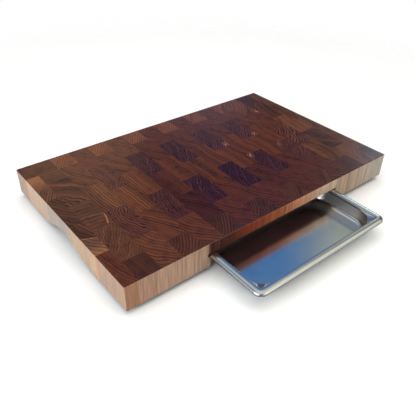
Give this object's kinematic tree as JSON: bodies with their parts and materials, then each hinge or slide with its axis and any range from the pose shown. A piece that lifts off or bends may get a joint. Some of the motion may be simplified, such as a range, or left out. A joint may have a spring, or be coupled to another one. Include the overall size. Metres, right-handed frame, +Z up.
{
  "type": "cutting board with drawer tray",
  "caption": "Thick end-grain cutting board with a rectangular steel pan that slides out of a recess in its front edge, finger grips under both ends and rubber feet.",
  "frame": {"origin": "middle of the wooden underside; the feet reach 10 mm below it", "axes": "+X along the board's length, +Y from the pan's side to the back edge, +Z up; the pan slides out along -Y"},
  "size_m": [0.65, 0.534, 0.062],
  "materials": {
    "walnut": "oiled end grain",
    "steel": "satin, pressed sheet",
    "rubber": "matt",
    "zinc": "bright zinc plating"
  },
  "bodies": {
    "board": {"walnut_slice_01": "walnut", "walnut_slice_02": "walnut", "walnut_slice_03": "walnut", "walnut_slice_04": "walnut", "walnut_slice_05": "walnut", "walnut_slice_06": "walnut", "walnut_slice_07": "walnut", "walnut_slice_08": "walnut", "walnut_slice_09": "walnut", "walnut_slice_10": "walnut", "walnut_slice_11": "walnut", "walnut_slice_12": "walnut", "walnut_slice_13": "walnut", "walnut_slice_14": "walnut", "walnut_slice_15": "walnut", "walnut_slice_16": "walnut", "foot_front_left": "rubber", "foot_front_right": "rubber", "foot_back_left": "rubber", "foot_back_right": "rubber", "foot_washers": "zinc", "foot_screws": "zinc"},
    "pan": {"steel_pan": "steel"}
  },
  "joints": [
    {"name": "pan_slide", "type": "slide", "parent": "board", "child": "pan", "axis": [0, -1, 0], "range_m": [-0.1247, 0.054]}
  ]
}
